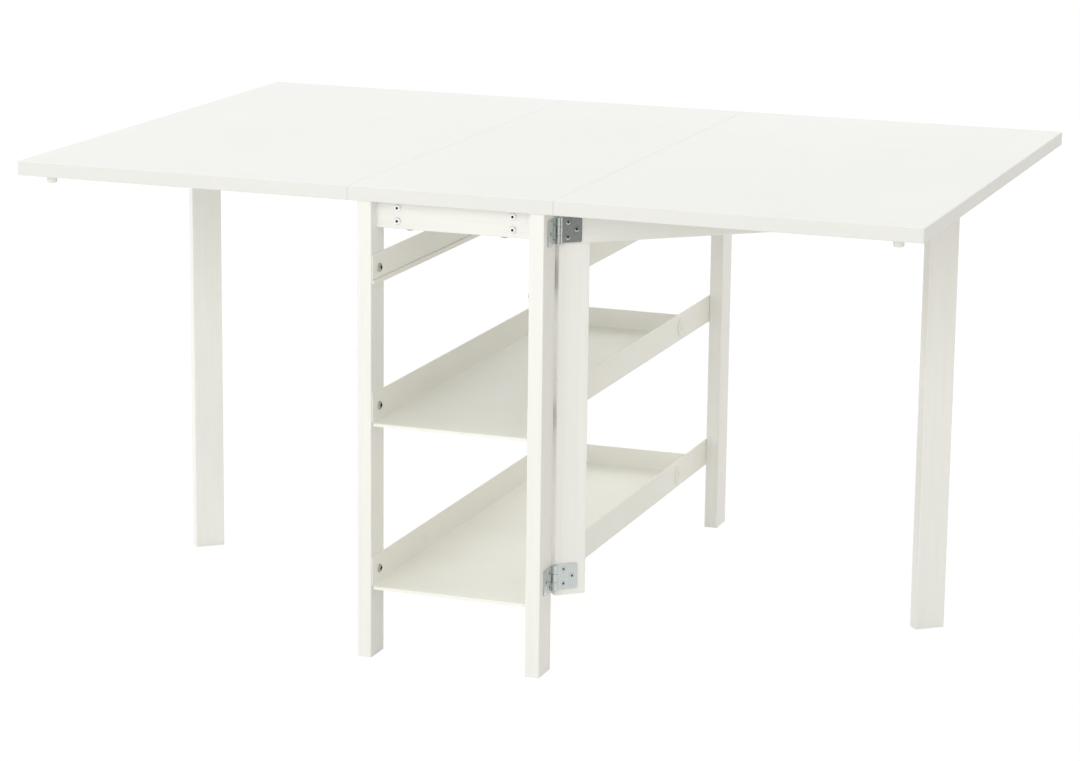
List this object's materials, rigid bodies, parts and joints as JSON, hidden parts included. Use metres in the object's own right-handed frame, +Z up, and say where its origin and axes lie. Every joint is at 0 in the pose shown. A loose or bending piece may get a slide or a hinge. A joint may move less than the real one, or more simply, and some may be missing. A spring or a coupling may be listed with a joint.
{
  "type": "gateleg table",
  "caption": "White rectangular gateleg table with a narrow shelved frame, hinged leaves held up by swing-out gates, and open steel trays between the posts.",
  "frame": {"origin": "on the floor under the centre of the top", "axes": "+X along the long side of the open top, +Y from the front to the back, +Z up"},
  "size_m": [1.45, 0.98, 0.74],
  "materials": {
    "white_board": "smooth white lacquer on board",
    "white_timber": "smooth white lacquer on timber",
    "white_steel": "satin powder coat",
    "plated_hinge": "bright zinc plate",
    "plated_bolt": "bright zinc plate",
    "plated_screw": "dull zinc plate",
    "white_plastic": "satin"
  },
  "bodies": {
    "frame": {"centre_top": "white_board", "front_right_post": "white_timber", "front_left_post": "white_timber", "back_left_post": "white_timber", "back_right_post": "white_timber", "middle_tray": "white_steel", "lower_tray": "white_steel", "middle_tray_plugs": "white_plastic", "lower_tray_plugs": "white_plastic", "middle_tray_screws": "plated_screw", "lower_tray_screws": "plated_screw", "side_rail_screws": "plated_screw", "front_apron": "white_timber", "front_apron_bolts": "plated_bolt", "front_top_screws": "plated_screw", "back_apron": "white_timber", "back_apron_bolts": "plated_bolt", "back_top_screws": "plated_screw", "right_stretcher": "white_timber", "right_side_rail": "white_steel", "right_leaf_hinge_fixed_plates": "plated_hinge", "right_leaf_hinge_pins": "plated_hinge", "right_upper_hinge_post_plate": "plated_hinge", "right_lower_hinge_post_plate": "plated_hinge", "right_upper_hinge_pin": "plated_hinge", "right_lower_hinge_pin": "plated_hinge", "left_stretcher": "white_timber", "left_side_rail": "white_steel", "left_leaf_hinge_fixed_plates": "plated_hinge", "left_leaf_hinge_pins": "plated_hinge", "left_upper_hinge_post_plate": "plated_hinge", "left_lower_hinge_post_plate": "plated_hinge", "left_upper_hinge_pin": "plated_hinge", "left_lower_hinge_pin": "plated_hinge"},
    "right_gate": {"right_gate_stile": "white_timber", "right_gate_rail": "white_timber", "right_gate_leg": "white_timber", "right_upper_hinge_gate_plate": "plated_hinge", "right_lower_hinge_gate_plate": "plated_hinge"},
    "right_leaf": {"right_leaf": "white_board", "right_leaf_bumpers": "white_plastic", "right_gate_stop": "white_plastic", "right_leaf_hinge_leaf_plates": "plated_hinge"},
    "left_gate": {"left_gate_stile": "white_timber", "left_gate_rail": "white_timber", "left_gate_leg": "white_timber", "left_upper_hinge_gate_plate": "plated_hinge", "left_lower_hinge_gate_plate": "plated_hinge"},
    "left_leaf": {"left_leaf": "white_board", "left_leaf_bumpers": "white_plastic", "left_gate_stop": "white_plastic", "left_leaf_hinge_leaf_plates": "plated_hinge"}
  },
  "joints": [
    {"name": "right_gate_swing", "type": "hinge", "parent": "frame", "child": "right_gate", "pos_m": [0.155, -0.434, 0.4], "axis": [0, 0, 1], "range_deg": [0, 49.4]},
    {"name": "left_gate_swing", "type": "hinge", "parent": "frame", "child": "left_gate", "pos_m": [-0.155, 0.434, 0.4], "axis": [0, 0, 1], "range_deg": [0, 49.4]},
    {"name": "right_leaf_lift", "type": "hinge", "parent": "frame", "child": "right_leaf", "pos_m": [0.165, 0, 0.7145], "axis": [0, -1, 0], "range_deg": [0, 0.8]},
    {"name": "left_leaf_lift", "type": "hinge", "parent": "frame", "child": "left_leaf", "pos_m": [-0.165, 0, 0.7145], "axis": [0, 1, 0], "range_deg": [0, 0.8]}
  ]
}
